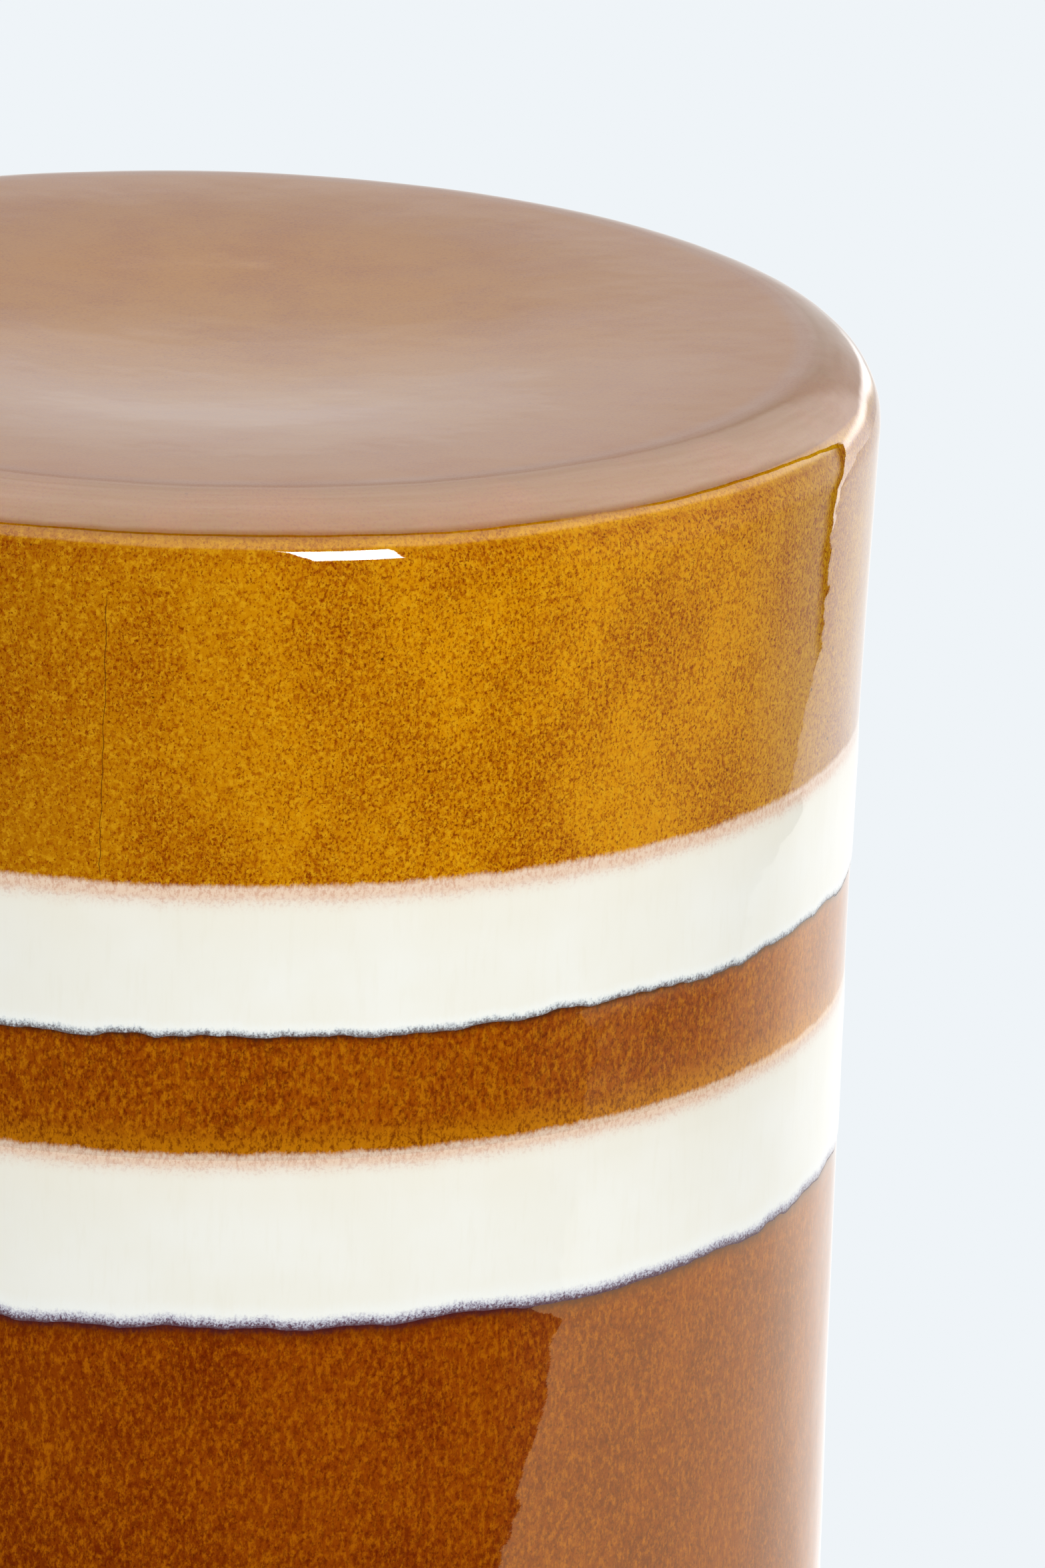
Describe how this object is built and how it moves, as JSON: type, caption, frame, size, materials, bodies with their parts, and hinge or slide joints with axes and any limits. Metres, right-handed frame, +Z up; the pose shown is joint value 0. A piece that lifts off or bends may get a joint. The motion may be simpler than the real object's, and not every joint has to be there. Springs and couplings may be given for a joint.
{
  "type": "ceramic garden stool",
  "caption": "Drum-shaped glazed stoneware stool with a dished seat, a rolled shoulder, a slightly waisted wall and an open in-turned foot, glazed in amber, cream and brown bands.",
  "frame": {"origin": "on the floor, under the centre of the seat", "axes": "+Z up along the axis of the drum, which is the same all round"},
  "size_m": [0.3396, 0.3394, 0.45],
  "materials": {
    "stoneware": "bare fired stoneware, matte and slightly gritty",
    "amber_glaze": "glossy amber glaze, cloudy, with fine brown specks",
    "cream_glaze": "glossy cream glaze, fuzzy at its top edge and thick at its lower edge",
    "brown_glaze": "glossy brown glaze, mottled, paler where it runs thin",
    "rubber": "matte"
  },
  "bodies": {
    "root": {"seat": "stoneware", "wall": "stoneware", "foot_ring": "stoneware", "upper_joint_coil": "stoneware", "lower_joint_coil": "stoneware", "crown_glaze": "amber_glaze", "upper_cream_glaze": "cream_glaze", "middle_brown_glaze": "brown_glaze", "lower_cream_glaze": "cream_glaze", "base_brown_glaze": "brown_glaze", "floor_pads": "rubber"}
  },
  "joints": []
}
